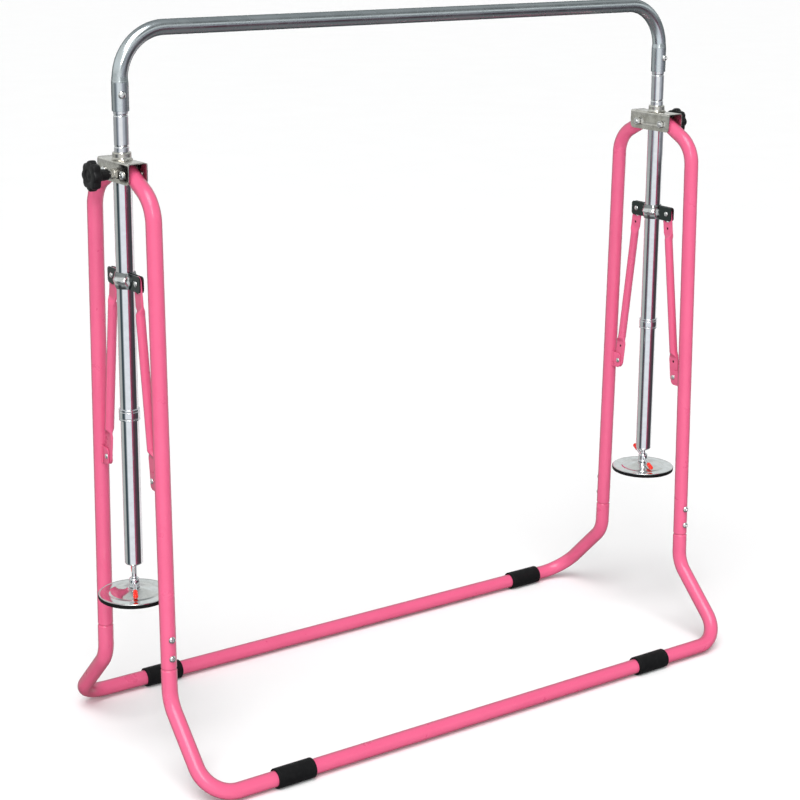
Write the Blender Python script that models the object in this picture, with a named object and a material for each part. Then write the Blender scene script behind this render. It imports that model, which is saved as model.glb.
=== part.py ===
"""A folding kip bar for gymnastics: a height-adjustable bar on two posts, with four folding legs.

Metres. X runs along the bar, Y from the front legs to the rear ones, Z up. The origin is on the floor,
under the middle of the bar. Each post carries a bracket with two pivoted legs, a sliding collar with two
struts, and a screw foot that is lowered to the floor once the legs are spread.
"""

import math

import bmesh
import bpy
from mathutils import Matrix, Vector

# Overall layout
POST_X = 0.610
BASE_Y = 0.255
BASE_Z = 0.0183
GAP = 0.0003

# Bar and telescopic posts
BAR_Z = 1.3096
BAR_BEND = 0.085
BAR_RADIUS = 0.0136
BAR_WALL = 0.002
SLEEVE_RADIUS = 0.0146
SLEEVE_BOTTOM = 1.1733
SLEEVE_TOP = 1.2206
BAR_BOLT_Z = 1.2013
INNER_RADIUS = 0.0127
INNER_BORE = 0.0112
INNER_BOTTOM = 0.690
INNER_GROOVE = 1.1653
OUTER_RADIUS = 0.0159
OUTER_BORE = 0.0139
OUTER_BOTTOM = 0.3717
PLUG_TOP = 0.3917
PLUG_CONE = 0.006

# Bracket: an upside-down channel over each post
BRACKET_TOP = 1.0918
BRACKET_HEIGHT = 0.037
BRACKET_HALF_WIDTH = 0.0182
BRACKET_HALF_DEPTH = 0.057
PLATE = 0.002
RING_TOP = 1.1048
RING_RADIUS = 0.017
KNOB_Z = 1.0683
STUD_RADIUS = 0.0037

# Legs
PIVOT_Y = 0.034
PIVOT_Z = 1.0698
PIN_RADIUS = 0.0037
LEG_RADIUS = 0.014
LEG_BORE = 0.0125
LEG_BEND = 0.060
LEG_KNEE = (0.1074, 1.0308)
LEG_SLOPE = 0.0179
JOINT_Z = 0.2143
LEG_BOLT_Z = (0.2343, 0.2693)

# Base frames
BASE_RADIUS = 0.0143
BASE_BORE = 0.0105
SWAGE_RADIUS = 0.0121
SWAGE_TOP = 0.2893
BASE_BEND = 0.060
RUBBER_RADIUS = BASE_Z
RUBBER_LENGTH = 0.0775
RUBBER_X = {"front": (-0.4385, 0.4087), "rear": (-0.4256, 0.4927)}

# Struts and collars
COLLAR_Y = 0.045
COLLAR_Z = 0.8848
EAR_END = 0.0595
EAR_HALF_HEIGHT = 0.0145
EAR_CORNER = 0.004
EAR_GAP = 0.0023
BAND = 0.0020
BAND_BORE = 0.0168
STRUT_Y = 0.086
STRUT_Z = 0.5463
STRUT_RADIUS = 0.00825
FLAT_HALF_WIDTH = 0.01225
FLAT_HALF_THICK = 0.002
FLAT_LENGTH = 0.040
SQUASH_LENGTH = 0.016
SLOT_OUT = 0.0126
SLOT_IN = 0.0168
SLOT_HALF_WIDTH = 0.0063
RIVET_RADIUS = 0.003
TAB_REACH = 0.037
TAB_HALF_HEIGHT = 0.016

# Stop rings and screw feet
STOP_Z = (0.6353, 0.6558)
STOP_RADIUS = 0.0186
FOOT_Z = {"left": 0.3070, "right": 0.3225}
DISC_RADIUS = 0.065
STEM_RADIUS = 0.0045
STEM_TOP = 0.452
HUB_RADIUS = 0.01025
HUB_HEIGHTS = (0.0172, 0.037)
LEVER_HEIGHT = 0.028
LEVER_HALF_LENGTH = 0.0475
LEVER_RADIUS = 0.0035
LEVER_TURN = {"left": math.radians(25), "right": math.radians(18)}
LEVER_TILT = math.radians(17)

X = Vector((1, 0, 0))
Y = Vector((0, 1, 0))
Z = Vector((0, 0, 1))
SIDES = {"left": -1, "right": 1}
FACES = {"front": -1, "rear": 1}

for old in list(bpy.data.objects):
    bpy.data.objects.remove(old, do_unlink=True)


def material(name, colour, roughness, metallic):
    made = bpy.data.materials.new(name)
    made.use_nodes = True
    shader = made.node_tree.nodes["Principled BSDF"]
    shader.inputs["Base Color"].default_value = (*colour, 1)
    shader.inputs["Roughness"].default_value = roughness
    shader.inputs["Metallic"].default_value = metallic
    made.diffuse_color = (*colour, 1)
    return made


PINK = material("pink_paint", (0.86, 0.19, 0.34), 0.35, 0.0)
SILVER = material("silver_grey_paint", (0.19, 0.22, 0.225), 0.35, 0.7)
CHROME = material("chrome", (0.72, 0.72, 0.74), 0.08, 1.0)
NICKEL = material("nickel_plate", (0.42, 0.38, 0.32), 0.28, 1.0)
BLACK_NICKEL = material("black_nickel_plate", (0.2, 0.205, 0.205), 0.18, 1.0)
STEEL = material("zinc_bolt", (0.6, 0.6, 0.6), 0.25, 1.0)
KNOB_BLACK = material("knob_plastic", (0.02, 0.02, 0.022), 0.45, 0.0)
RUBBER = material("rubber", (0.012, 0.012, 0.013), 0.7, 0.0)


def axis_empty(name, place, parent=None):
    """An empty on a joint's axis, which carries the pieces that move about it."""
    empty = bpy.data.objects.new(name, None)
    bpy.context.collection.objects.link(empty)
    empty.empty_display_size = 0.03
    empty["place"] = tuple(place)
    empty.location = Vector(place)
    if parent:
        empty.parent = parent
        empty.location -= Vector(parent["place"])
    return empty


def finish(name, bm, look, origin, parent):
    """Turns a closed mesh drawn in world space into an object whose origin is the given point."""
    bmesh.ops.recalc_face_normals(bm, faces=bm.faces)
    bmesh.ops.translate(bm, verts=bm.verts, vec=-Vector(origin))
    mesh = bpy.data.meshes.new(name)
    bm.to_mesh(mesh)
    bm.free()
    mesh.shade_smooth()
    mesh.set_sharp_from_angle(angle=math.radians(35))
    mesh.materials.append(look)
    made = bpy.data.objects.new(name, mesh)
    bpy.context.collection.objects.link(made)
    made.location = Vector(origin) - Vector(parent["place"])
    made.parent = parent
    return made


def boolean(target, name, bm, operation="DIFFERENCE"):
    """Cuts (or joins) a helper mesh, drawn in world space, that stays attached to its target."""
    bmesh.ops.recalc_face_normals(bm, faces=bm.faces)
    bmesh.ops.translate(bm, verts=bm.verts, vec=-target.location - Vector(target.parent["place"]))
    mesh = bpy.data.meshes.new(name)
    bm.to_mesh(mesh)
    bm.free()
    helper = bpy.data.objects.new(name, mesh)
    bpy.context.collection.objects.link(helper)
    helper.parent = target
    helper.hide_render = True
    helper.display_type = "WIRE"
    modifier = target.modifiers.new(name, "BOOLEAN")
    modifier.operation = operation
    modifier.object = helper
    modifier.solver = "EXACT"


def across(axis):
    """Two directions square to an axis."""
    side = Y if abs(axis.dot(X)) > 0.9 else X
    first = (side - axis * side.dot(axis)).normalized()
    return first, axis.cross(first)


def ring(bm, centre, first, second, radius, sides, outline=None):
    verts = []
    for index in range(sides):
        angle = 2 * math.pi * (index + 0.5) / sides
        reach = radius * (outline(angle) if outline else 1)
        verts.append(bm.verts.new(centre + (first * math.cos(angle) + second * math.sin(angle)) * reach))
    return verts


def bridge(bm, one, other):
    count = len(one)
    for index in range(count):
        after = (index + 1) % count
        bm.faces.new((one[index], one[after], other[after], other[index]))


def skin(bm, rings, loop=False):
    """Joins rings in turn. An open row of rings gets end caps, and a loop of rings comes back to its start."""
    for one, other in zip(rings, rings[1:]):
        bridge(bm, one, other)
    if loop:
        bridge(bm, rings[-1], rings[0])
    else:
        bm.faces.new(rings[0])
        bm.faces.new(rings[-1])


def lathe(bm, origin, axis, profile, sides, loop=False, outline=None):
    """Turns a profile of (distance along the axis, radius) round an axis through the origin."""
    axis = Vector(axis).normalized()
    first, second = across(axis)
    rings = []
    for distance, radius in profile:
        rings.append(ring(bm, Vector(origin) + axis * distance, first, second, radius, sides, outline))
    skin(bm, rings, loop)


def rod(bm, start, end, radius, sides=8):
    start, end = Vector(start), Vector(end)
    lathe(bm, start, end - start, ((0, radius), ((end - start).length, radius)), sides)


def bent_path(corners, bend, steps):
    """Points and directions along straight runs joined by arcs. A corner on a straight run is a plain point."""
    path = []
    for index, corner in enumerate(corners):
        before = (corner - corners[index - 1]).normalized() if index else None
        after = (corners[index + 1] - corner).normalized() if index + 1 < len(corners) else None
        if before is None or after is None or before.angle(after) < 1e-3:
            path.append((corner, after or before))
            continue
        angle = before.angle(after)
        axis = before.cross(after).normalized()
        inward = axis.cross(before) * bend
        centre = corner - before * bend * math.tan(angle / 2) + inward
        for step in range(steps + 1):
            turn = Matrix.Rotation(angle * step / steps, 3, axis)
            path.append((centre - turn @ inward, turn @ before))
    return path


def swept_rings(bm, path, side, radius, sides):
    """Rings along a path, turned only as much as the path turns."""
    rings = []
    last = path[0][1]
    for point, direction in path:
        side = last.rotation_difference(direction) @ side
        last = direction
        rings.append(ring(bm, point, side, direction.cross(side), radius(point), sides))
    return rings


def tube(outer_corners, inner_corners, bend, outer, inner, side, sides, steps, inner_steps):
    """A bent tube, open at both ends. The radii are functions of the point on the centre line."""
    bm = bmesh.new()
    outside = swept_rings(bm, bent_path(outer_corners, bend, steps), side, outer, sides)
    inside = swept_rings(bm, bent_path(inner_corners, bend, inner_steps), side, inner, sides)
    skin(bm, outside + inside[::-1], loop=True)
    return bm


def prism(bm, outline, direction, start, end):
    """Extrudes a flat outline along a direction."""
    rings = []
    for reach in (start, end):
        rings.append([bm.verts.new(point + direction * reach) for point in outline])
    skin(bm, rings)


def rounded_box_outline(centre, first, second, half_first, half_second, corner, steps=4):
    """A rectangle with rounded corners, in the plane of two directions."""
    outline = []
    for index, (a, b) in enumerate(((1, 1), (-1, 1), (-1, -1), (1, -1))):
        middle = centre + first * a * (half_first - corner) + second * b * (half_second - corner)
        for step in range(steps + 1):
            angle = math.pi / 2 * (index + step / steps)
            outline.append(middle + (first * math.cos(angle) + second * math.sin(angle)) * corner)
    return outline


def at(x, y, z):
    return Vector((x, y, z))


# Bodies: each empty sits on the axis of the pieces that it carries.
FRAME = axis_empty("frame", (0, 0, 0))
BAR = axis_empty("bar_slide", (0, 0, BAR_Z))
LEGS = {face: axis_empty(f"{face}_fold_axis", (0, sign * PIVOT_Y, PIVOT_Z)) for face, sign in FACES.items()}
COLLARS = {side: axis_empty(f"collar_{side}_slide", (sign * POST_X, 0, COLLAR_Z)) for side, sign in SIDES.items()}
FEET = {side: axis_empty(f"foot_{side}_slide", (sign * POST_X, 0, FOOT_Z[side])) for side, sign in SIDES.items()}
STRUTS = {
    (face, side): axis_empty(
        f"strut_{face}_{side}_axis",
        (side_sign * POST_X, face_sign * STRUT_Y, STRUT_Z),
        LEGS[face],
    )
    for face, face_sign in FACES.items()
    for side, side_sign in SIDES.items()
}


def build_bar():
    """The bar: one tube bent down at both ends, which widen into sleeves over the inner posts."""
    corners = [at(-POST_X, 0, SLEEVE_BOTTOM), at(-POST_X, 0, SLEEVE_TOP - 0.0005), at(-POST_X, 0, SLEEVE_TOP + 0.002)]
    corners.append(at(-POST_X, 0, BAR_Z))
    corners += [at(-point.x, 0, point.z) for point in reversed(corners)]
    bore_corners = [at(point.x, 0, point.z) for point in corners]
    bm = tube(
        corners,
        bore_corners,
        BAR_BEND,
        lambda point: SLEEVE_RADIUS if point.z < SLEEVE_TOP else BAR_RADIUS,
        lambda point: INNER_RADIUS + 0.0004 if point.z < SLEEVE_TOP else BAR_RADIUS - BAR_WALL,
        Y,
        16,
        5,
        3,
    )
    bar = finish("top_bar", bm, SILVER, (0, 0, BAR_Z), BAR)
    for side, sign in SIDES.items():
        cut = bmesh.new()
        rod(cut, at(sign * POST_X, 0, BAR_BOLT_Z), at(sign * POST_X, 0, BAR_BOLT_Z) + bolt_way(side) * 0.03, 0.0033)
        boolean(bar, f"{side}_bolt_hole", cut)


def bolt_way(side):
    """The bar bolts point to the front, turned a little towards each end."""
    turn = math.radians(15 if side == "left" else 8)
    return Vector((SIDES[side] * math.sin(turn), -math.cos(turn), 0))


def dome_head(start, radius, height, shank, length):
    """The profile of a domed head with its shank, from the shank's tip outwards."""
    return (
        (start - length, shank),
        (start, shank),
        (start, radius),
        (start + height * 0.5, radius * 0.9),
        (start + height, radius * 0.4),
    )


def build_inner_post(side):
    sign = SIDES[side]
    profile = [(INNER_BOTTOM, INNER_RADIUS)]
    for step, depth in ((-0.002, 0), (-0.001, 0.0005), (0.001, 0.0005), (0.002, 0)):
        profile.append((INNER_GROOVE + step, INNER_RADIUS - depth))
    top = SLEEVE_TOP - 0.0015
    profile += [(top, INNER_RADIUS), (top, INNER_BORE), (INNER_BOTTOM, INNER_BORE)]
    bm = bmesh.new()
    lathe(bm, at(sign * POST_X, 0, 0), Z, profile, 16, loop=True)
    post = finish(f"inner_post_{side}", bm, CHROME, (sign * POST_X, 0, INNER_BOTTOM), BAR)
    cut = bmesh.new()
    start = at(sign * POST_X, 0, BAR_BOLT_Z)
    rod(cut, start, start + bolt_way(side) * 0.03, 0.0033)
    boolean(post, "bolt_hole", cut)
    bolt = bmesh.new()
    lathe(bolt, start, bolt_way(side), dome_head(SLEEVE_RADIUS + GAP, 0.0066, 0.0052, 0.003, 0.0065), 10)
    finish(f"bar_bolt_{side}", bolt, STEEL, start, BAR)


def build_outer_post(side):
    """The outer post: open on top, with a plug at the foot whose bore takes the screw."""
    sign = SIDES[side]
    top = BRACKET_TOP - PLATE - 0.0025
    bore = STEM_RADIUS + 0.0006
    profile = (
        (OUTER_BOTTOM, OUTER_RADIUS),
        (top, OUTER_RADIUS),
        (top, OUTER_BORE),
        (PLUG_TOP, OUTER_BORE),
        (PLUG_TOP, bore),
        (OUTER_BOTTOM - PLUG_CONE, bore),
        (OUTER_BOTTOM - PLUG_CONE, bore + 0.0015),
        (OUTER_BOTTOM - 0.0015, OUTER_RADIUS - 0.0012),
    )
    bm = bmesh.new()
    lathe(bm, at(sign * POST_X, 0, 0), Z, profile, 16, loop=True)
    post = finish(f"outer_post_{side}", bm, CHROME, (sign * POST_X, 0, OUTER_BOTTOM), FRAME)
    cut = bmesh.new()
    rod(cut, at(sign * POST_X, 0, KNOB_Z), at(sign * (POST_X + 0.03), 0, KNOB_Z), STUD_RADIUS + 0.0004)
    boolean(post, "stud_hole", cut)
    stop = bmesh.new()
    bottom, top = STOP_Z
    rim = OUTER_RADIUS + GAP
    profile = ((bottom, rim), (bottom, STOP_RADIUS), (top, STOP_RADIUS), (top, rim))
    lathe(stop, at(sign * POST_X, 0, 0), Z, profile, 16, loop=True)
    finish(f"stop_ring_{side}", stop, CHROME, (sign * POST_X, 0, bottom), FRAME)


def build_bracket(side):
    """A channel with open ends, a collar ring welded on top, and a weld nut on its outer wall."""
    sign = SIDES[side]
    half, bottom, corner = BRACKET_HALF_WIDTH, BRACKET_TOP - BRACKET_HEIGHT, 0.004
    outline = []
    for index, edge in enumerate((1, -1)):
        for step in range(3):
            angle = math.pi / 2 * (index + step / 2)
            outline.append((edge * (half - corner) + corner * math.cos(angle), corner * math.sin(angle) - corner))
    outline += [(-half, -BRACKET_HEIGHT), (-half + PLATE, -BRACKET_HEIGHT), (-half + PLATE, -PLATE - 0.002)]
    outline += [(-half + PLATE + 0.002, -PLATE), (half - PLATE - 0.002, -PLATE)]
    outline += [(half - PLATE, -PLATE - 0.002), (half - PLATE, -BRACKET_HEIGHT), (half, -BRACKET_HEIGHT)]
    bm = bmesh.new()
    points = [at(sign * POST_X + x, 0, BRACKET_TOP + z) for x, z in outline]
    prism(bm, points, Y, -BRACKET_HALF_DEPTH, BRACKET_HALF_DEPTH)
    low = [
        edge
        for edge in bm.edges
        if all(vert.co.z < bottom + 1e-5 for vert in edge.verts)
        and abs(edge.verts[0].co.y - edge.verts[1].co.y) < 1e-6
    ]
    bmesh.ops.bevel(bm, geom=low, offset=0.008, offset_type="OFFSET", segments=2, profile=0.5, affect="EDGES")
    bracket = finish(f"bracket_{side}", bm, NICKEL, (sign * POST_X, 0, BRACKET_TOP), FRAME)
    collar = bmesh.new()
    base = BRACKET_TOP - PLATE / 2
    profile = ((base, RING_RADIUS), (RING_TOP - 0.001, RING_RADIUS), (RING_TOP, RING_RADIUS - 0.001))
    lathe(collar, at(sign * POST_X, 0, 0), Z, profile, 16)
    boolean(bracket, "welded_ring", collar, "UNION")
    nut = bmesh.new()
    rod(nut, at(sign * (POST_X + half - 0.001), 0, KNOB_Z), at(sign * (POST_X + 0.025), 0, KNOB_Z), 0.0078, 6)
    boolean(bracket, "weld_nut", nut, "UNION")
    bore = bmesh.new()
    rod(bore, at(sign * POST_X, 0, BRACKET_TOP - 0.010), at(sign * POST_X, 0, RING_TOP + 0.01), 0.0131, 16)
    rod(bore, at(sign * (POST_X + 0.0145), 0, KNOB_Z), at(sign * (POST_X + 0.03), 0, KNOB_Z), STUD_RADIUS + 0.0004)
    for way in (-1, 1):
        start = at(sign * POST_X - 0.025, way * PIVOT_Y, PIVOT_Z)
        rod(bore, start, start + X * 0.05, PIN_RADIUS + GAP)
    boolean(bracket, "bores", bore)


def build_pivot_bolt(side, face):
    """A bolt along X through the channel: a domed head outside, a nut on the inside wall."""
    sign = SIDES[side]
    start = at(sign * POST_X, FACES[face] * PIVOT_Y, PIVOT_Z)
    wall = BRACKET_HALF_WIDTH + GAP
    bm = bmesh.new()
    profile = (
        (-wall - 0.0080, PIN_RADIUS),
        (-wall - 0.0058, PIN_RADIUS),
        (-wall - 0.0058, 0.0070),
        (-wall, 0.0070),
        (-wall, PIN_RADIUS),
        (wall, PIN_RADIUS),
        (wall, 0.0072),
        (wall + 0.0020, 0.0066),
        (wall + 0.0040, 0.0028),
    )
    lathe(bm, start, X * sign, profile, 8)
    finish(f"pivot_bolt_{face}_{side}", bm, STEEL, start, FRAME)


def build_knob(side):
    """The height lock: a lobed plastic knob on a steel stud, whose tip bears on the inner post."""
    sign = SIDES[side]
    start = at(sign * POST_X, 0, KNOB_Z)
    axis = axis_empty(f"knob_{side}_axis", start)
    first, second = across(X * sign)
    rings = []
    stations = (
        (0.0130, STUD_RADIUS, 0),
        (0.0272, STUD_RADIUS, 0),
        (0.0272, 0.0090, 0),
        (0.0440, 0.0100, 0),
        (0.0500, 0.0240, 0.07),
        (0.0620, 0.0246, 0.07),
        (0.0650, 0.0205, 0.05),
    )
    bm = bmesh.new()
    for reach, radius, depth in stations:
        centre = start + X * sign * reach
        rings.append(ring(bm, centre, first, second, radius, 32, lambda angle: 1 + depth * math.cos(8 * angle)))
    skin(bm, rings)
    finish(f"knob_{side}", bm, KNOB_BLACK, start, axis)


def leg_line(z):
    """Distance of the straight part of a leg from the middle plane, at a height."""
    knee_y, knee_z = LEG_KNEE
    return knee_y + (knee_z - z) * LEG_SLOPE


def build_leg(face, side):
    """An upper leg: a tube from its pivot, bent down outside the bracket, with a tab for its strut."""
    way, x = FACES[face], SIDES[side] * POST_X
    pivot = at(x, way * PIVOT_Y, PIVOT_Z)
    knee = at(x, way * LEG_KNEE[0], LEG_KNEE[1])
    end = at(x, way * leg_line(JOINT_Z + GAP), JOINT_Z + GAP)
    start = pivot - (knee - pivot).normalized() * 0.008
    corners = [start, knee, end]
    bm = tube(corners, corners, LEG_BEND, lambda point: LEG_RADIUS, lambda point: LEG_BORE, X, 12, 4, 3)
    leg = finish(f"upper_leg_{face}_{side}", bm, PINK, pivot, LEGS[face])
    axis_y = leg_line(STRUT_Z)
    inner, outer = axis_y - TAB_REACH, axis_y - LEG_BORE - 0.0006
    tabs = bmesh.new()
    corner = 0.008
    outline = []
    for edge in (1, -1):
        for step in range(3):
            angle = math.pi / 2 * step / 2 * edge
            depth = inner + corner - corner * math.cos(angle)
            height = edge * (TAB_HALF_HEIGHT - corner) + corner * math.sin(angle)
            outline.append((depth, height))
        outline.append((outer, edge * TAB_HALF_HEIGHT))
        if edge == 1:
            outline.reverse()
    points = [at(x, way * depth, STRUT_Z + height) for depth, height in outline]
    for hand in (-1, 1):
        prism(tabs, points, X, hand * EAR_GAP, hand * (EAR_GAP + 0.002))
    boolean(leg, "strut_tabs", tabs, "UNION")
    cut = bmesh.new()
    rod(cut, pivot - X * 0.025, pivot + X * 0.025, PIN_RADIUS + GAP)
    rivet = at(x, way * STRUT_Y, STRUT_Z)
    rod(cut, rivet - X * 0.01, rivet + X * 0.01, RIVET_RADIUS + GAP)
    for z in LEG_BOLT_Z:
        hole = at(x, way * leg_line(z), z)
        rod(cut, hole, hole + Y * way * 0.03, 0.0033)
    boolean(leg, "holes", cut)
    for name, z in zip(("lower", "upper"), LEG_BOLT_Z):
        place = at(x, way * leg_line(z), z)
        bolt = bmesh.new()
        lathe(bolt, place, Y * way, dome_head(LEG_RADIUS + 0.0004, 0.0064, 0.0044, 0.003, 0.0085), 10)
        finish(f"leg_bolt_{face}_{side}_{name}", bolt, STEEL, place, LEGS[face])


def build_base(face):
    """A base frame: one floor tube, bent in and up at both ends, where it narrows to plug into the legs."""
    way = FACES[face]
    elbow_z = BASE_Z + BASE_Y - leg_line(BASE_Z + BASE_Y / 2)

    def half(plug_steps):
        tops = [SWAGE_TOP, JOINT_Z - 0.0002, JOINT_Z - 0.0024] if plug_steps else [SWAGE_TOP]
        points = [at(POST_X, way * leg_line(z), z) for z in tops]
        points.append(at(POST_X, way * leg_line(elbow_z), elbow_z))
        points.append(at(POST_X, way * BASE_Y, BASE_Z))
        return points

    outer = half(True)
    outer = [at(-point.x, point.y, point.z) for point in outer] + outer[::-1]
    inner = half(False)
    inner = [at(-point.x, point.y, point.z) for point in inner] + inner[::-1]
    bm = tube(
        outer,
        inner,
        BASE_BEND,
        lambda point: SWAGE_RADIUS if point.z > JOINT_Z - 0.001 else BASE_RADIUS,
        lambda point: BASE_BORE,
        X,
        12,
        4,
        3,
    )
    base = finish(f"base_frame_{face}", bm, PINK, (0, way * BASE_Y, BASE_Z), LEGS[face])
    cut = bmesh.new()
    for sign in SIDES.values():
        for z in LEG_BOLT_Z:
            hole = at(sign * POST_X, way * leg_line(z), z)
            rod(cut, hole, hole + Y * way * 0.03, 0.0033)
    boolean(base, "bolt_holes", cut)
    bore = BASE_RADIUS + 2 * GAP
    for side, x in zip(SIDES, RUBBER_X[face]):
        middle = at(x, way * BASE_Y, BASE_Z)
        half_length = RUBBER_LENGTH / 2
        profile = (
            (-half_length, bore),
            (-half_length, RUBBER_RADIUS / math.cos(math.pi / 16)),
            (half_length, RUBBER_RADIUS / math.cos(math.pi / 16)),
            (half_length, bore),
        )
        sleeve = bmesh.new()
        lathe(sleeve, middle, X, profile, 16, loop=True)
        finish(f"rubber_sleeve_{face}_{side}", sleeve, RUBBER, middle, LEGS[face])


def rivet_profile(face_distance):
    """A rivet with a domed head at each end, from end to end."""
    half = (
        (face_distance, RIVET_RADIUS),
        (face_distance, 0.0050),
        (face_distance + 0.0022, 0.0026),
    )
    return tuple((-reach, radius) for reach, radius in reversed(half)) + half


def build_strut(face, side):
    """A strut: a round tube, squashed flat at both ends. Its top end has a slot round the collar's rivet."""
    way, x = FACES[face], SIDES[side] * POST_X
    low = at(x, way * STRUT_Y, STRUT_Z)
    high = at(x, way * COLLAR_Y, COLLAR_Z)
    length = (high - low).length
    along = (high - low).normalized()
    broad = X.cross(along)
    top = length + SLOT_OUT + 0.0034
    low_end = -0.013
    stations = (
        (low_end, 0.0070, FLAT_HALF_THICK, 6),
        (low_end + 0.0085, FLAT_HALF_WIDTH, FLAT_HALF_THICK, 6),
        (FLAT_LENGTH, FLAT_HALF_WIDTH, FLAT_HALF_THICK, 6),
        (FLAT_LENGTH + SQUASH_LENGTH * 0.5, 0.0104, 0.0058, 3),
        (FLAT_LENGTH + SQUASH_LENGTH, STRUT_RADIUS, STRUT_RADIUS, 2),
        (length - FLAT_LENGTH - SQUASH_LENGTH, STRUT_RADIUS, STRUT_RADIUS, 2),
        (length - FLAT_LENGTH - SQUASH_LENGTH * 0.5, 0.0104, 0.0058, 3),
        (length - FLAT_LENGTH, FLAT_HALF_WIDTH, FLAT_HALF_THICK, 6),
        (top - 0.0040, FLAT_HALF_WIDTH, FLAT_HALF_THICK, 6),
        (top, 0.0090, FLAT_HALF_THICK, 6),
    )
    bm = bmesh.new()
    rings = []
    for reach, wide, thick, square in stations:
        verts = []
        for index in range(12):
            angle = 2 * math.pi * (index + 0.5) / 12
            across_wide = math.copysign(abs(math.cos(angle)) ** (2 / square), math.cos(angle)) * wide
            across_thick = math.copysign(abs(math.sin(angle)) ** (2 / square), math.sin(angle)) * thick
            verts.append(bm.verts.new(low + along * reach + broad * across_wide + X * across_thick))
        rings.append(verts)
    skin(bm, rings)
    strut = finish(f"strut_{face}_{side}", bm, PINK, low, STRUTS[face, side])
    cut = bmesh.new()
    rod(cut, low - X * 0.01, low + X * 0.01, RIVET_RADIUS + GAP)
    for reach in (0.033, length - 0.030):
        spot = low + along * reach
        inward = -X * SIDES[side]
        rod(cut, spot + inward * 0.0008, spot + inward * 0.01, 0.0026, 8)
    middle = high + along * (SLOT_OUT - SLOT_IN) / 2
    outline = rounded_box_outline(middle, along, broad, (SLOT_OUT + SLOT_IN) / 2, SLOT_HALF_WIDTH, 0.0028, 2)
    prism(cut, outline, X, -0.01, 0.01)
    boolean(strut, "slot_and_holes", cut)
    rivet = bmesh.new()
    lathe(rivet, low, X, rivet_profile(EAR_GAP + 0.002 + GAP), 8)
    finish(f"lower_rivet_{face}_{side}", rivet, STEEL, low, LEGS[face])
    rivet = bmesh.new()
    lathe(rivet, high, X, rivet_profile(EAR_GAP + BAND + GAP), 8)
    finish(f"collar_rivet_{face}_{side}", rivet, STEEL, high, COLLARS[side])


def band_path():
    """Half of a collar seen from above: (point, outward direction) from one ear's end, round the post, to the other."""
    root = BAND_BORE + 0.0030
    path = []
    for y in (-EAR_END, -EAR_END + EAR_CORNER, -root):
        path.append((Vector((EAR_GAP, y, 0)), X))
    steps = 7
    low = math.asin((EAR_GAP + 0.0016) / BAND_BORE)
    for step in range(steps + 1):
        angle = -math.pi / 2 + low + (math.pi - 2 * low) * step / steps
        outward = Vector((math.cos(angle), math.sin(angle), 0))
        path.append((outward * BAND_BORE, outward))
    for y in (root, EAR_END - EAR_CORNER, EAR_END):
        path.append((Vector((EAR_GAP, y, 0)), X))
    return path


def build_collar(side, hand_name, hand):
    """One half of the sliding collar: a pressed band with a rib round its middle, and a flat ear each way."""
    start = at(SIDES[side] * POST_X, 0, COLLAR_Z)
    rows = (-1, -0.30, -0.16, 0.16, 0.30, 1)
    bm = bmesh.new()
    sheets = []
    for thick in (0, BAND):
        sheet = []
        for row in rows:
            line = []
            for point, outward in band_path():
                bulge = 0.0014 if abs(row) < 0.2 and outward is not X else 0
                tip = abs(point.y) > EAR_END - EAR_CORNER / 2
                height = EAR_HALF_HEIGHT - (EAR_CORNER if tip else 0)
                spot = point + outward * (thick + (bulge if thick else 0))
                line.append(bm.verts.new(start + Vector((spot.x * hand, spot.y, row * height))))
            sheet.append(line)
        sheets.append(sheet)
    inside, outside = sheets
    columns = len(inside[0])
    for sheet in sheets:
        for one, other in zip(sheet, sheet[1:]):
            for index in range(columns - 1):
                bm.faces.new((one[index], one[index + 1], other[index + 1], other[index]))
    for row in (0, -1):
        for index in range(columns - 1):
            one, other = inside[row], outside[row]
            bm.faces.new((one[index], one[index + 1], other[index + 1], other[index]))
    for column in (0, -1):
        for row in range(len(rows) - 1):
            corners = (inside[row], inside[row + 1], outside[row + 1], outside[row])
            bm.faces.new([line[column] for line in corners])
    half = finish(f"collar_{side}_{hand_name}", bm, BLACK_NICKEL, start, COLLARS[side])
    cut = bmesh.new()
    for way in (-1, 1):
        hole = start + Y * way * COLLAR_Y
        rod(cut, hole - X * 0.02, hole + X * 0.02, RIVET_RADIUS + GAP)
    boolean(half, "rivet_holes", cut)


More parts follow.
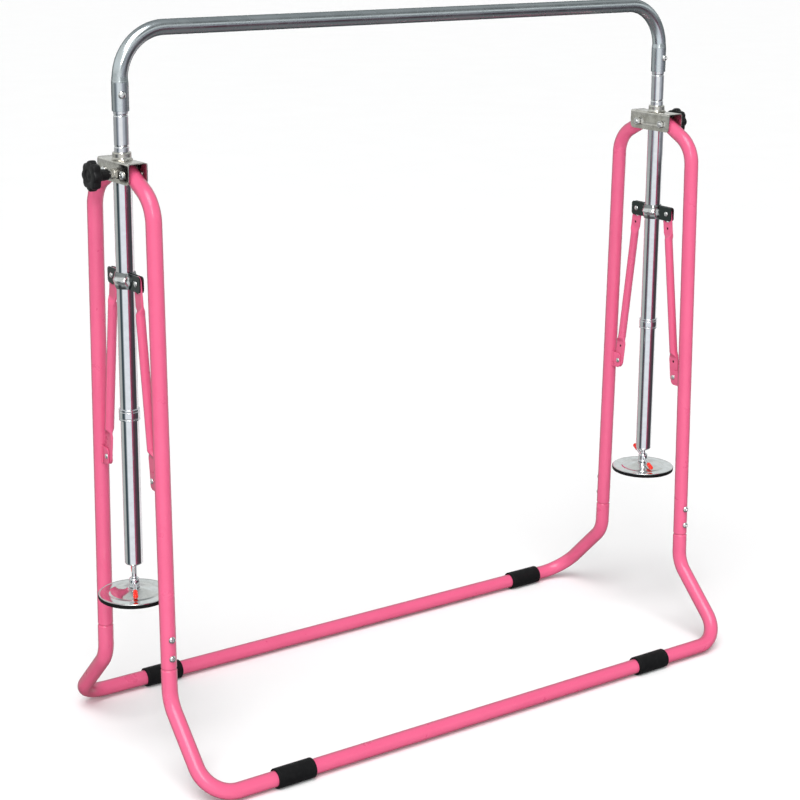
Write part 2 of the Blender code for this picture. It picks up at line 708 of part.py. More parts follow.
def build_foot(side):
    """A screw foot: a threaded spindle with a hub and a cross lever, over a domed disc with a rubber pad."""
    start = at(SIDES[side] * POST_X, 0, FOOT_Z[side])
    screw = axis_empty(f"foot_{side}_screw_axis", start, FEET[side])
    low, high = HUB_HEIGHTS
    stem_top = STEM_TOP - FOOT_Z[side]
    profile = (
        (low, HUB_RADIUS),
        (high - 0.0045, HUB_RADIUS),
        (high - 0.0008, 0.0072),
        (high, STEM_RADIUS),
        (stem_top, STEM_RADIUS),
    )
    bm = bmesh.new()
    lathe(bm, start, Z, profile, 12)
    spindle = finish(f"foot_spindle_{side}", bm, CHROME, start, screw)
    turn = LEVER_TURN[side]
    lever_way = Vector((-math.sin(turn), -math.cos(turn), 0)) * math.cos(LEVER_TILT)
    lever_way -= Z * math.sin(LEVER_TILT)
    middle = start + Z * LEVER_HEIGHT
    cut = bmesh.new()
    rod(cut, middle - lever_way * 0.03, middle + lever_way * 0.03, LEVER_RADIUS + 0.0004)
    boolean(spindle, "lever_hole", cut)
    end, cap = LEVER_HALF_LENGTH, 0.019
    half = (
        (end - cap, LEVER_RADIUS),
        (end - cap + 0.0008, 0.0045),
        (end - 0.002, 0.0045),
        (end, 0.0025),
    )
    profile = tuple((-reach, radius) for reach, radius in reversed(half)) + half
    lever = bmesh.new()
    lathe(lever, middle, lever_way, profile, 8)
    finish(f"foot_lever_{side}", lever, CHROME, middle, screw)
    rim = DISC_RADIUS
    profile = (
        (0.0169, 0.0040),
        (0.0169, 0.0120),
        (0.0092, 0.0440),
        (0.0080, 0.0500),
        (0.0080, rim),
        (0.0053, rim),
        (0.0053, 0.0500),
        (0.0066, 0.0440),
        (0.0145, 0.0120),
        (0.0145, 0.0040),
    )
    disc = bmesh.new()
    lathe(disc, start, Z, profile, 24, loop=True)
    finish(f"foot_disc_{side}", disc, CHROME, start, FEET[side])
    profile = (
        (0.0140, 0.0100),
        (0.0062, 0.0440),
        (0.0050, 0.0500),
        (0.0050, rim),
        (0.0008, rim),
        (0.0000, rim - 0.0010),
        (0.0000, 0.0540),
        (0.0080, 0.0300),
        (0.0080, 0.0100),
    )
    pad = bmesh.new()
    lathe(pad, start, Z, profile, 24, loop=False)
    finish(f"foot_pad_{side}", pad, RUBBER, start, FEET[side])


build_bar()
for side_name in SIDES:
    build_inner_post(side_name)
    build_outer_post(side_name)
    build_bracket(side_name)
    build_knob(side_name)
    build_foot(side_name)
    build_collar(side_name, "outer_half", SIDES[side_name])
    build_collar(side_name, "inner_half", -SIDES[side_name])
    for face_name in FACES:
        build_pivot_bolt(side_name, face_name)
        build_leg(face_name, side_name)
        build_strut(face_name, side_name)
for face_name in FACES:
    build_base(face_name)
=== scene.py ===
"""The kip bar's visual model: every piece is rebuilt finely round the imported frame, and rides on its body."""

import math

import bmesh
import bpy
from mathutils import Matrix, Vector


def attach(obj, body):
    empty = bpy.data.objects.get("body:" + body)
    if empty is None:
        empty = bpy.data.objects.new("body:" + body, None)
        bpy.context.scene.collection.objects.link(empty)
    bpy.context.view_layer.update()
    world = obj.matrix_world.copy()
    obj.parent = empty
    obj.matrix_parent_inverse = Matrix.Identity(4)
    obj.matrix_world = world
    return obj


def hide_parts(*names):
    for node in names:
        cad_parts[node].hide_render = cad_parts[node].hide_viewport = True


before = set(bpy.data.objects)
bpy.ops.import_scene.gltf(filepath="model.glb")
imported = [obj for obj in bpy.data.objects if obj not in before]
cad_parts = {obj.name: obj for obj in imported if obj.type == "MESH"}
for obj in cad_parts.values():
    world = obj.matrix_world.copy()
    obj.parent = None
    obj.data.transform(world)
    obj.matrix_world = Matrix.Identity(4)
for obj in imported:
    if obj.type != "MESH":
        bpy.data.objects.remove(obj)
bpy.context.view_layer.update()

X = Vector((1, 0, 0))
Y = Vector((0, 1, 0))
Z = Vector((0, 0, 1))
SIDES = {"left": -1, "right": 1}
FACES = {"front": -1, "rear": 1}

POST_X = 0.610
BASE_Y = 0.255
BASE_Z = 0.0183
BAR_Z = 1.3093
SLEEVE_BOTTOM = 1.1733
SLEEVE_TOP = 1.2206
BAR_BOLT_Z = 1.2013
INNER_RADIUS = 0.0127
OUTER_RADIUS = 0.0159
OUTER_BOTTOM = 0.3717
BRACKET_TOP = 1.0918
BRACKET_HEIGHT = 0.037
HALF_WIDTH = 0.0182
HALF_DEPTH = 0.057
PLATE = 0.002
KNOB_Z = 1.0683
PIVOT_Y = 0.034
PIVOT_Z = 1.0698
LEG_RADIUS = 0.014
LEG_KNEE = (0.1074, 1.0308)
LEG_SLOPE = 0.0179
JOINT_Z = 0.2143
LEG_BOLT_Z = {"lower": 0.2343, "upper": 0.2693}
BASE_RADIUS = 0.0143
SWAGE_TOP = 0.2893
RUBBER_X = {"front": (-0.4385, 0.4087), "rear": (-0.4256, 0.4927)}
COLLAR_Y = 0.045
COLLAR_Z = 0.8848
EAR_END = 0.0593
EAR_GAP = 0.0023
STRUT_Y = 0.086
STRUT_Z = 0.5463
STOP_Z = (0.6353, 0.6558)
FOOT_Z = {"left": 0.3070, "right": 0.3225}
LEVER_TURN = {"left": math.radians(25), "right": math.radians(18)}


# ---------------------------------------------------------------- materials


def nodes_of(name):
    made = bpy.data.materials.new(name)
    made.use_nodes = True
    tree = made.node_tree
    return made, tree, tree.nodes["Principled BSDF"]


def noise(tree, scale, detail=3, stretch=(1, 1, 1), rough=0.5):
    """A noise pattern fixed to the object, stretched along its axes."""
    place = tree.nodes.new("ShaderNodeTexCoord")
    mapping = tree.nodes.new("ShaderNodeMapping")
    mapping.inputs["Scale"].default_value = stretch
    pattern = tree.nodes.new("ShaderNodeTexNoise")
    pattern.inputs["Scale"].default_value = scale
    pattern.inputs["Detail"].default_value = detail
    pattern.inputs["Roughness"].default_value = rough
    tree.links.new(place.outputs["Object"], mapping.inputs["Vector"])
    tree.links.new(mapping.outputs["Vector"], pattern.inputs["Vector"])
    return pattern.outputs["Fac"]


def ranged(tree, value, low, high, start=0.3, end=0.7):
    """Maps a pattern's middle values onto a range."""
    made = tree.nodes.new("ShaderNodeMapRange")
    made.interpolation_type = "SMOOTHSTEP"
    made.inputs["From Min"].default_value = start
    made.inputs["From Max"].default_value = end
    made.inputs["To Min"].default_value = low
    made.inputs["To Max"].default_value = high
    tree.links.new(value, made.inputs["Value"])
    return made.outputs["Result"]


def mixed(tree, factor, one, other):
    """A mix of two colours, each a plain colour or a socket."""
    made = tree.nodes.new("ShaderNodeMix")
    made.data_type = "RGBA"
    tree.links.new(factor, made.inputs[0])
    for socket, colour in ((made.inputs[6], one), (made.inputs[7], other)):
        if isinstance(colour, tuple):
            socket.default_value = (*colour, 1)
        else:
            tree.links.new(colour, socket)
    return made.outputs[2]


def bumped(tree, shader, patterns):
    """Adds (pattern, strength, height in metres) one on another as bumps."""
    normal = None
    for pattern, strength, height in patterns:
        bump = tree.nodes.new("ShaderNodeBump")
        bump.inputs["Strength"].default_value = strength
        bump.inputs["Distance"].default_value = height
        tree.links.new(pattern, bump.inputs["Height"])
        if normal:
            tree.links.new(normal, bump.inputs["Normal"])
        normal = bump.outputs["Normal"]
    tree.links.new(normal, shader.inputs["Normal"])


def powder_coat(name, colour, shade, speck, painted_edge_shade, roughness, metallic, coat):
    """A sprayed coat: colour drift, fine specks, painted shade where the surface turns away towards the
    outline, orange peel and duller patches.
    """
    made, tree, shader = nodes_of(name)
    drift = ranged(tree, noise(tree, 9, 3), 0, 1)
    fine = ranged(tree, noise(tree, 1400, 2), 0, 1, 0.52, 0.75)
    base = mixed(tree, fine, mixed(tree, drift, colour, shade), speck)
    # Painted shade: the coat is mixed towards its fourth colour where the surface turns away towards the
    # outline, and a metal coat also takes that colour as its reflection tint.
    slant = tree.nodes.new("ShaderNodeLayerWeight")
    slant.inputs["Blend"].default_value = 0.5
    painted_edge_mask = ranged(tree, slant.outputs["Facing"], 0, 1, 0.30, 0.85)
    tree.links.new(mixed(tree, painted_edge_mask, base, painted_edge_shade), shader.inputs["Base Color"])
    patches = ranged(tree, noise(tree, 26, 4, rough=0.6), roughness - 0.05, roughness + 0.08)
    tree.links.new(patches, shader.inputs["Roughness"])
    shader.inputs["Metallic"].default_value = metallic
    shader.inputs["Specular Tint"].default_value = (*(painted_edge_shade if metallic else (1, 1, 1)), 1)
    shader.inputs["Coat Weight"].default_value = coat
    shader.inputs["Coat Roughness"].default_value = 0.14
    peel = noise(tree, 420, 2)
    ripple = 0.05 if metallic else 0.14
    bumped(tree, shader, ((peel, ripple, 0.0004), (noise(tree, 60, 2), ripple * 0.2, 0.0012)))
    return made


def plated(name, colour, shade, low, high, grain, strength, stretch=(1, 1, 1)):
    """A plated metal: drifting tone, uneven polish, and drawn or tumbled grain."""
    made, tree, shader = nodes_of(name)
    drift = ranged(tree, noise(tree, 70, 4, rough=0.6), 0, 1)
    tree.links.new(mixed(tree, drift, colour, shade), shader.inputs["Base Color"])
    smudge = ranged(tree, noise(tree, 45, 5, rough=0.65), low, high, 0.4, 0.72)
    tree.links.new(smudge, shader.inputs["Roughness"])
    shader.inputs["Metallic"].default_value = 1
    lines = noise(tree, grain, 3, stretch)
    bumped(tree, shader, ((lines, strength, 0.0002),))
    return made


def darken_ears_and_paint_edge_shade(made):
    """Darkens a collar's flat ears, where the plating is thin and the steel is nearly black, and paints shade
    on the band towards its top and bottom edges.
    """
    tree = made.node_tree
    shader = tree.nodes["Principled BSDF"]
    base = shader.inputs["Base Color"].links[0].from_socket
    place = tree.nodes.new("ShaderNodeTexCoord")
    split = tree.nodes.new("ShaderNodeSeparateXYZ")
    away = tree.nodes.new("ShaderNodeMath")
    away.operation = "ABSOLUTE"
    tree.links.new(place.outputs["Object"], split.inputs["Vector"])
    tree.links.new(split.outputs["Y"], away.inputs[0])
    worn = ranged(tree, noise(tree, 260, 4, rough=0.6), 0.9, 1.15)
    scaled = tree.nodes.new("ShaderNodeMath")
    scaled.operation = "MULTIPLY"
    tree.links.new(away.outputs[0], scaled.inputs[0])
    tree.links.new(worn, scaled.inputs[1])
    ear = ranged(tree, scaled.outputs[0], 0, 1, 0.0195, 0.0250)
    level = tree.nodes.new("ShaderNodeMath")
    level.operation = "SUBTRACT"
    tree.links.new(split.outputs["Z"], level.inputs[0])
    level.inputs[1].default_value = COLLAR_Z
    height = tree.nodes.new("ShaderNodeMath")
    height.operation = "ABSOLUTE"
    tree.links.new(level.outputs[0], height.inputs[0])
    # Painted shade: the band turns darker towards its top and bottom edges, standing in for the dark ceiling
    # and floor it would reflect.
    painted_top_bottom_shade = ranged(tree, height.outputs[0], 0, 0.75, 0.0050, 0.0095)
    band = mixed(tree, painted_top_bottom_shade, base, (0.10, 0.115, 0.115))
    tree.links.new(mixed(tree, ear, band, (0.060, 0.074, 0.072)), shader.inputs["Base Color"])


def moulded(name, colour, shade, roughness, gloss, grain, strength):
    """A moulded plastic or rubber: fine grain with paler, slightly rubbed patches."""
    made, tree, shader = nodes_of(name)
    drift = ranged(tree, noise(tree, 120, 5, rough=0.65), 0, 1, 0.42, 0.8)
    tree.links.new(mixed(tree, drift, colour, shade), shader.inputs["Base Color"])
    rubbed = ranged(tree, noise(tree, 80, 4), roughness + 0.08, roughness - 0.08)
    tree.links.new(rubbed, shader.inputs["Roughness"])
    shader.inputs["Specular IOR Level"].default_value = gloss
    bumped(tree, shader, ((noise(tree, grain, 2), strength, 0.0003),))
    return made


# Each coat's fourth colour is painted shade, mixed in towards the outline.
PINK = powder_coat(
    "pink_coat",
    (0.735, 0.104, 0.228),
    (0.71, 0.097, 0.216),
    (0.77, 0.13, 0.26),
    (0.43, 0.045, 0.106),
    roughness=0.32,
    metallic=0.0,
    coat=0.25,
)
SILVER = powder_coat(
    "bar_coat",
    (0.66, 0.71, 0.73),
    (0.60, 0.65, 0.67),
    (0.78, 0.82, 0.84),
    (0.30, 0.33, 0.34),
    roughness=0.24,
    metallic=1.0,
    coat=0.0,
)
CHROME = plated("chrome_plate", (0.80, 0.81, 0.83), (0.74, 0.75, 0.77), 0.04, 0.10, 900, 0.03, (1, 1, 0.03))
DISC_CHROME = plated("pressed_chrome", (0.76, 0.77, 0.76), (0.66, 0.67, 0.66), 0.08, 0.22, 160, 0.14)
NICKEL = plated("nickel_plate", (0.72, 0.70, 0.65), (0.50, 0.48, 0.43), 0.14, 0.36, 500, 0.45)
BLACK_NICKEL = plated("black_nickel_plate", (0.86, 0.87, 0.86), (0.66, 0.67, 0.66), 0.05, 0.18, 300, 0.16)
darken_ears_and_paint_edge_shade(BLACK_NICKEL)
ZINC = plated("zinc_plate", (0.90, 0.90, 0.89), (0.74, 0.74, 0.73), 0.12, 0.28, 900, 0.10)
KNOB = moulded("knob_plastic", (0.006, 0.006, 0.0065), (0.011, 0.011, 0.012), 0.42, 0.22, 1900, 0.22)
RUBBER = moulded("rubber_mould", (0.005, 0.005, 0.0055), (0.010, 0.010, 0.0105), 0.60, 0.14, 1500, 0.30)
VINYL = moulded("dipped_vinyl", (0.88, 0.022, 0.006), (0.78, 0.016, 0.005), 0.28, 0.5, 500, 0.06)


# ---------------------------------------------------------------- mesh tools


def across(axis):
    """Two directions square to an axis."""
    side = Y if abs(axis.dot(X)) > 0.9 else X
    first = (side - axis * side.dot(axis)).normalized()
    return first, axis.cross(first)


def ring(bm, centre, first, second, radius, sides, outline=None):
    verts = []
    for index in range(sides):
        angle = 2 * math.pi * index / sides
        reach = radius * (outline(angle) if outline else 1)
        verts.append(bm.verts.new(centre + (first * math.cos(angle) + second * math.sin(angle)) * reach))
    return verts


def skin(bm, rings, loop=False):
    """Joins rings in turn. An open row of rings is capped, and a loop of rings comes back to its start."""
    pairs = list(zip(rings, rings[1:]))
    if loop:
        pairs.append((rings[-1], rings[0]))
    for one, other in pairs:
        count = len(one)
        for index in range(count):
            after = (index + 1) % count
            bm.faces.new((one[index], one[after], other[after], other[index]))
    if not loop:
        bm.faces.new(rings[0])
        bm.faces.new(rings[-1])


def softened(profile, size, loop=False, steps=3):
    """Rounds a profile's corners. An extra point beside each corner keeps a long side's shading straight."""
    points = [Vector(point) for point in profile]
    made = []
    count = len(points)
    for index, point in enumerate(points):
        if not loop and index in (0, count - 1):
            made.append(tuple(point))
            continue
        before = points[index - 1] - point
        after = points[(index + 1) % count] - point
        if before.length < 1e-7 or after.length < 1e-7 or before.angle(after) > 3.0:
            made.append(tuple(point))
            continue
        reach = min(size, before.length * 0.4, after.length * 0.4)
        start, end = point + before.normalized() * reach, point + after.normalized() * reach
        if before.length > 8 * reach:
            made.append(tuple(start * 2 - point))
        for step in range(steps + 1):
            part = step / steps
            made.append(tuple(start * (1 - part) ** 2 + point * 2 * part * (1 - part) + end * part * part))
        if after.length > 8 * reach:
            made.append(tuple(end * 2 - point))
    return made


def lathe(bm, origin, axis, profile, sides, loop=False, outline=None):
    """Turns a profile of (distance along the axis, radius) round an axis through the origin."""
    axis = Vector(axis).normalized()
    first, second = across(axis)
    rings = []
    for distance, radius in profile:
        rings.append(ring(bm, Vector(origin) + axis * distance, first, second, radius, sides, outline))
    skin(bm, rings, loop)


def turned(origin, axis, profile, sides, size=0.0004, loop=False):
    bm = bmesh.new()
    lathe(bm, origin, axis, softened(profile, size, loop), sides, loop)
    return bm


def rod(bm, start, end, radius, sides=24):
    start, end = Vector(start), Vector(end)
    lathe(bm, start, end - start, ((0, radius), ((end - start).length, radius)), sides)


def bent_path(corners, bend, steps):
    """Points and directions along straight runs joined by arcs. A corner with no turn is a plain point."""
    path = []
    for index, corner in enumerate(corners):
        before = (corner - corners[index - 1]).normalized() if index else None
        after = (corners[index + 1] - corner).normalized() if index + 1 < len(corners) else None
        if before is None or after is None or before.angle(after) < 1e-3:
            path.append((corner, after or before))
            continue
        angle = before.angle(after)
        axis = before.cross(after).normalized()
        inward = axis.cross(before) * bend
        centre = corner - before * bend * math.tan(angle / 2) + inward
        for step in range(steps + 1):
            turn = Matrix.Rotation(angle * step / steps, 3, axis)
            path.append((centre - turn @ inward, turn @ before))
    return path


def swept(bm, path, side, radius, sides):
    """Rings along a path, turned only as much as the path turns."""
    rings = []
    last = path[0][1]
    for point, direction in path:
        side = last.rotation_difference(direction) @ side
        last = direction
        rings.append(ring(bm, point, side, direction.cross(side), radius(point), sides))
    return rings


def tube(corners, bend, outer, wall, side, sides, steps):
    """A bent tube with open, slightly rolled ends. The outer radius is a function of the point."""
    lip = 0.0004
    first = corners[0] + (corners[1] - corners[0]).normalized() * lip
    last = corners[-1] + (corners[-2] - corners[-1]).normalized() * lip
    path = bent_path([corners[0], first, *corners[1:-1], last, corners[-1]], bend, steps)
    ends = (corners[0], corners[-1])

    def rolled(point):
        near = min((point - end).length for end in ends) < lip / 2
        return outer(point) - (0.0003 if near else 0)

    bm = bmesh.new()
    outside = swept(bm, path, side, rolled, sides)
    inside = swept(bm, path, side, lambda point: outer(point) - wall, sides)
    skin(bm, outside + inside[::-1], loop=True)
    return bm


def prism(bm, outline, direction, start, end):
    """Extrudes a flat outline along a direction."""
    skin(bm, [[bm.verts.new(point + direction * reach) for point in outline] for reach in (start, end)])


def rounded_box(centre, first, second, half_first, half_second, corner, steps=6):
    """A rectangle with rounded corners, in the plane of two directions."""
    outline = []
    for index, (a, b) in enumerate(((1, 1), (-1, 1), (-1, -1), (1, -1))):
        middle = centre + first * a * (half_first - corner) + second * b * (half_second - corner)
        for step in range(steps + 1):
            angle = math.pi / 2 * (index + step / steps)
            outline.append(middle + (first * math.cos(angle) + second * math.sin(angle)) * corner)
    return outline


def eased(value, start, end):
    part = min(1, max(0, (value - start) / (end - start)))
    return part * part * (3 - 2 * part)


def at(x, y, z):
    return Vector((x, y, z))


def to_object(name, bm):
    bmesh.ops.recalc_face_normals(bm, faces=bm.faces)
    mesh = bpy.data.meshes.new(name)
    bm.to_mesh(mesh)
    bm.free()
    made = bpy.data.objects.new(name, mesh)
    bpy.context.scene.collection.objects.link(made)
    return made


def piece(name, bm, body, look, stands_for, cut=None, edge=0.0, angle=35):
    """Makes one visible piece: cuts its holes, softens its edges, shades it and puts it on its body."""
    made = to_object(name, bm)
    helper = None
    if cut is not None:
        helper = to_object(name + "_cut", cut)
        boolean = made.modifiers.new("cut", "BOOLEAN")
        boolean.operation = "DIFFERENCE"
        boolean.solver = "EXACT"
        boolean.object = helper
    if edge:
        bevel = made.modifiers.new("edge", "BEVEL")
        bevel.width = edge
        bevel.segments = 2
        bevel.limit_method = "ANGLE"
        bevel.angle_limit = math.radians(50)
        bevel.harden_normals = False
    if made.modifiers:
        graph = bpy.context.evaluated_depsgraph_get()
        graph.update()
        solid = bpy.data.meshes.new_from_object(made.evaluated_get(graph))
        made.modifiers.clear()
        made.data = solid
    if helper:
        bpy.data.objects.remove(helper, do_unlink=True)
    made.data.materials.clear()
    made.data.materials.append(look)
    made.data.shade_smooth()
    made.data.set_sharp_from_angle(angle=math.radians(angle))
    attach(made, body)
    if stands_for:
        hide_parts(stands_for)
    return made


# ---------------------------------------------------------------- the bar and the posts


def bolt_way(side):
    turn = math.radians(15 if side == "left" else 8)
    return Vector((SIDES[side] * math.sin(turn), -math.cos(turn), 0))


def build_bar():
    side = [at(-POST_X, 0, SLEEVE_BOTTOM), at(-POST_X, 0, SLEEVE_TOP - 0.0012)]
    side += [at(-POST_X, 0, SLEEVE_TOP + step * 0.0012) for step in range(0, 9)]
    side.append(at(-POST_X, 0, BAR_Z))
    corners = side + [at(-point.x, 0, point.z) for point in reversed(side)]

    def radius(point):
        return 0.0146 - 0.0011 * eased(point.z, SLEEVE_TOP, SLEEVE_TOP + 0.0090)

    bm = tube(corners, 0.085, radius, 0.00125, Y, 64, 28)
    holes = bmesh.new()
    for name, sign in SIDES.items():
        start = at(sign * POST_X, 0, BAR_BOLT_Z)
        rod(holes, start, start + bolt_way(name) * 0.03, 0.0032)
    piece("bar_tube", bm, "bar", SILVER, "top_bar", holes)


def dimple_cut(start, way, face, radius, depth, sides):
    """A drive recess in a bolt's head."""
    cut = bmesh.new()
    rod(cut, start + way * (face - depth), start + way * (face + 0.005), radius, sides)
    return cut


def build_posts(side):
    centre = at(SIDES[side] * POST_X, 0, 0)
    profile = [(0.6900, INNER_RADIUS)]
    for groove in (1.1143, 1.1668):
        for step, depth in ((-0.0020, 0), (-0.0010, 0.0006), (0.0010, 0.0006), (0.0020, 0)):
            profile.append((groove + step, INNER_RADIUS - depth))
    profile += [(1.2188, INNER_RADIUS), (1.2188, 0.0112), (0.6900, 0.0112)]
    bm = turned(centre, Z, profile, 64, 0.0005, loop=True)
    hole = bmesh.new()
    start = centre + Z * BAR_BOLT_Z
    way = bolt_way(side)
    rod(hole, start, start + way * 0.03, 0.0032)
    piece(f"inner_post_tube_{side}", bm, "bar", CHROME, f"inner_post_{side}", hole)
    head = (
        (0.0080, 0.0030),
        (0.01485, 0.0030),
        (0.01485, 0.0066),
        (0.01600, 0.0066),
        (0.01820, 0.0056),
        (0.01960, 0.0038),
        (0.02010, 0.0010),
    )
    bm = turned(start, way, head, 32, 0.0006)
    cut = dimple_cut(start, way, 0.0201, 0.0019, 0.0018, 6)
    piece(f"bar_screw_{side}", bm, "bar", ZINC, f"bar_bolt_{side}", cut)
    bore = 0.0051
    profile = (
        (OUTER_BOTTOM, OUTER_RADIUS),
        (BRACKET_TOP - 0.0045, OUTER_RADIUS),
        (BRACKET_TOP - 0.0045, 0.0139),
        (0.3917, 0.0139),
        (0.3917, bore),
        (OUTER_BOTTOM - 0.006, bore),
        (OUTER_BOTTOM - 0.006, bore + 0.0015),
        (OUTER_BOTTOM - 0.0022, OUTER_RADIUS - 0.0016),
    )
    bm = turned(centre, Z, profile, 72, 0.0008, loop=True)
    hole = bmesh.new()
    rod(hole, centre + Z * KNOB_Z, centre + Z * KNOB_Z + X * SIDES[side] * 0.03, 0.0041)
    piece(f"outer_post_tube_{side}", bm, "posts", CHROME, f"outer_post_{side}", hole)
    bottom, top = STOP_Z
    profile = [(bottom, OUTER_RADIUS + 0.0002), (bottom, 0.0184)]
    profile += [(bottom + 0.0024, 0.0184), (bottom + 0.0030, 0.0180)]
    profile += [(bottom + 0.0044, 0.0180), (bottom + 0.0050, 0.0184)]
    profile += [(top - 0.0050, 0.0184), (top - 0.0044, 0.0180)]
    profile += [(top - 0.0030, 0.0180), (top - 0.0024, 0.0184), (top, 0.0184), (top, OUTER_RADIUS + 0.0002)]
    bm = turned(centre, Z, profile, 64, 0.0005, loop=True)
    piece(f"stop_band_{side}", bm, "posts", CHROME, f"stop_ring_{side}")


# ---------------------------------------------------------------- bracket and lock knob


def weld_bead(bm, centre, axis, radius, thickness, lumps, sides=96):
    """A ring of overlapping weld ripples."""
    first, second = across(axis)
    rings = []
    for index in range(sides):
        angle = 2 * math.pi * index / sides
        out = first * math.cos(angle) + second * math.sin(angle)
        swell = 1 + 0.16 * math.sin(lumps * angle) + 0.08 * math.sin(5 * angle + 1)
        middle = centre + out * radius
        rings.append(ring(bm, middle, out, axis, thickness * swell, 10))
    skin(bm, rings, loop=True)


def build_bracket(side):
    sign = SIDES[side]
    centre = at(sign * POST_X, 0, BRACKET_TOP)
    half, drop, corner, inner = HALF_WIDTH, BRACKET_HEIGHT, 0.0042, 0.0022
    section = []
    for index, edge in enumerate((1, -1)):
        for step in range(9):
            angle = math.pi / 2 * (index + step / 8)
            across_by = edge * (half - corner) + corner * math.cos(angle)
            section.append((across_by, corner * math.sin(angle) - corner))
    section += [(-half, -drop), (-half + PLATE, -drop)]
    for index, edge in enumerate((-1, 1)):
        for step in range(7):
            angle = math.pi - math.pi / 2 * (index + step / 6)
            across_by = edge * (half - PLATE - inner) + inner * math.cos(angle)
            section.append((across_by, inner * math.sin(angle) - inner - PLATE))
    section += [(half - PLATE, -drop), (half, -drop)]
    bm = bmesh.new()
    prism(bm, [centre + at(x, 0, z) for x, z in section], Y, -HALF_DEPTH, HALF_DEPTH)
    low = [
        edge
        for edge in bm.edges
        if all(vert.co.z < BRACKET_TOP - drop + 1e-5 for vert in edge.verts)
        and abs(edge.verts[0].co.y - edge.verts[1].co.y) < 1e-6
    ]
    bmesh.ops.bevel(bm, geom=low, offset=0.009, offset_type="OFFSET", segments=8, profile=0.5, affect="EDGES")
    cut = bmesh.new()
    rod(cut, centre - Z * 0.01, centre + Z * 0.01, 0.0133, 48)
    knob_hole = at(sign * POST_X, 0, KNOB_Z)
    rod(cut, knob_hole + X * sign * 0.0145, knob_hole + X * sign * 0.03, 0.0042)
    for way in (-1, 1):
        start = at(sign * POST_X - 0.025, way * PIVOT_Y, PIVOT_Z)
        rod(cut, start, start + X * 0.05, 0.0040)
    bracket = f"bracket_{side}"
    piece(f"bracket_channel_{side}", bm, "posts", NICKEL, bracket, cut, edge=0.0003, angle=30)
    profile = (
        (0.0001, 0.0132),
        (0.0001, 0.0172),
        (0.0026, 0.0170),
        (0.0042, 0.0163),
        (0.0108, 0.0162),
        (0.0130, 0.0155),
        (0.0130, 0.0132),
    )
    bm = turned(centre, Z, profile, 64, 0.0007, loop=True)
    piece(f"bracket_ring_{side}", bm, "posts", NICKEL, f"bracket_{side}")
    bm = bmesh.new()
    weld_bead(bm, centre + Z * 0.0004, Z, 0.0172, 0.0013, 26)
    weld_bead(bm, knob_hole + X * sign * (half + 0.0002), X * sign, 0.0080, 0.0010, 15)
    piece(f"bracket_welds_{side}", bm, "posts", NICKEL, f"bracket_{side}")
    bm = bmesh.new()
    profile = ((0.0183, 0.0042), (0.0183, 0.0088), (0.0240, 0.0088), (0.0250, 0.0074), (0.0250, 0.0042))
    lathe(bm, knob_hole, X * sign, softened(profile, 0.0003, True), 48, True, hexagon)
    piece(f"weld_nut_{side}", bm, "posts", NICKEL, f"bracket_{side}")


def hexagon(angle):
    """Distance to a hexagon's edge, with slightly rounded corners."""
    turn = (angle + math.pi / 6) % (math.pi / 3) - math.pi / 6
    return min(0.985, math.cos(math.pi / 6) / math.cos(turn))


def build_pivot_bolt(side, face):
    sign = SIDES[side]
    start = at(sign * POST_X, FACES[face] * PIVOT_Y, PIVOT_Z)
    wall = HALF_WIDTH + 0.0002
    profile = (
        (-wall - 0.0080, 0.0030),
        (-wall - 0.0074, 0.0036),
        (wall, 0.0036),
        (wall, 0.0072),
        (wall + 0.0010, 0.0072),
        (wall + 0.0026, 0.0058),
        (wall + 0.0038, 0.0034),
        (wall + 0.0040, 0.0010),
    )
    bm = turned(start, X * sign, profile, 40, 0.0006)
    cut = dimple_cut(start, X * sign, wall + 0.0040, 0.0021, 0.0018, 6)
    name = f"pivot_bolt_{face}_{side}"
    piece(f"{name}_shaft", bm, "posts", ZINC, name, cut)
    bm = bmesh.new()
    profile = (
        (-wall - 0.0058, 0.0038),
        (-wall - 0.0058, 0.0068),
        (-wall - 0.0050, 0.0078),
        (-wall - 0.0004, 0.0078),
    )
    profile = softened(profile + ((-wall - 0.0004, 0.0038),), 0.0003, True)
    lathe(bm, start, X * sign, profile, 48, True, hexagon)
    piece(f"{name}_nut", bm, "posts", ZINC, name)


def build_knob(side):
    sign = SIDES[side]
    start = at(sign * POST_X, 0, KNOB_Z)
    axis = X * sign
    name = f"knob_{side}"

    def lobes(angle):
        wave = 0.5 + 0.5 * math.cos(8 * angle)
        return 1 - 0.13 * (1 - wave**0.7)

    first, second = across(axis)
    stations = (
        (0.0275, 0.0086, 0),
        (0.0278, 0.0092, 0),
        (0.0284, 0.0095, 0),
        (0.0400, 0.0102, 0),
        (0.0440, 0.0112, 0.0),
        (0.0470, 0.0136, 0.15),
        (0.0486, 0.0185, 0.6),
        (0.0494, 0.0240, 1),
        (0.0502, 0.0256, 1),
        (0.0514, 0.0262, 1),
        (0.0560, 0.0265, 1),
        (0.0608, 0.0262, 1),
        (0.0626, 0.0255, 1),
        (0.0638, 0.0240, 1),
        (0.0643, 0.0215, 1),
        (0.0645, 0.0180, 0.7),
        (0.0645, 0.0120, 0),
        (0.0640, 0.0112, 0),
        (0.0632, 0.0108, 0),
        (0.0632, 0.0060, 0),
        (0.0646, 0.0020, 0),
    )
    bm = bmesh.new()
    rings = []
    for reach, radius, share in stations:
        centre = start + axis * reach
        rings.append(ring(bm, centre, first, second, radius, 144, lambda a: 1 + (lobes(a) - 1) * share))
    skin(bm, rings)
    piece(f"{name}_grip", bm, name, KNOB, name, angle=40)
    profile = [(0.0131, 0.0026), (0.0138, 0.0036)]
    thread = 0.0142
    while thread < 0.0272:
        profile += [(thread, 0.00368), (thread + 0.0005, 0.0033)]
        thread += 0.0010
    profile += [(0.0276, 0.0036), (0.0290, 0.0036)]
    bm = bmesh.new()
    lathe(bm, start, axis, profile, 28)
    piece(f"{name}_stud", bm, name, ZINC, name)


# ---------------------------------------------------------------- legs and base frames


def leg_line(z):
    return LEG_KNEE[0] + (LEG_KNEE[1] - z) * LEG_SLOPE


